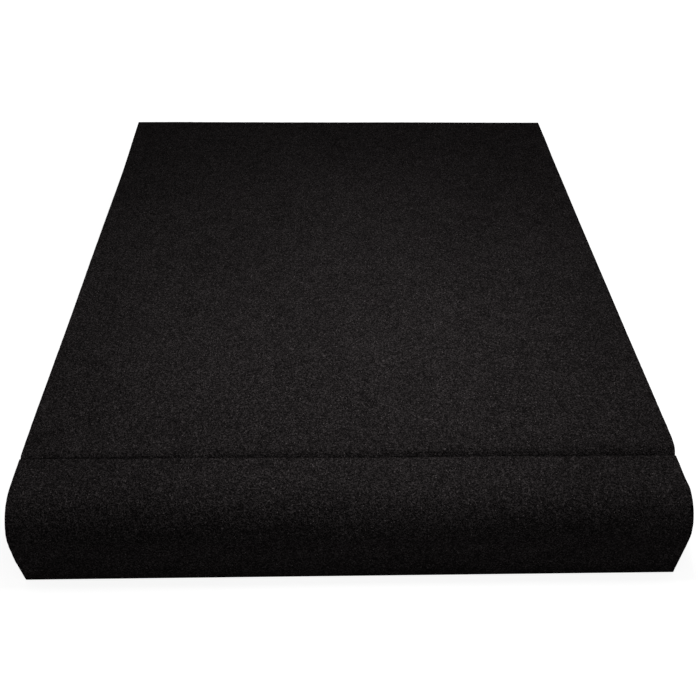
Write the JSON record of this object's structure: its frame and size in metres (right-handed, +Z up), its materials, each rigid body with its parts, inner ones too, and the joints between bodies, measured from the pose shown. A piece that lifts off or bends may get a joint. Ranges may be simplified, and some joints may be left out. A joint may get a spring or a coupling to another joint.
{
  "type": "speaker isolation pad",
  "caption": "Foam pad that a loudspeaker stands on: a base with a rounded front nose and a sloping bed, and a loose wedge that lies on the bed and makes the top level.",
  "frame": {"origin": "middle of the footprint, on the surface that the pad stands on", "axes": "+X across the pad to the right as seen from the front, +Y along it from the rounded nose to the back, +Z up"},
  "size_m": [0.265, 0.33, 0.04],
  "materials": {
    "foam": "matte"
  },
  "bodies": {
    "root": {"base": "foam", "wedge": "foam"}
  },
  "joints": []
}
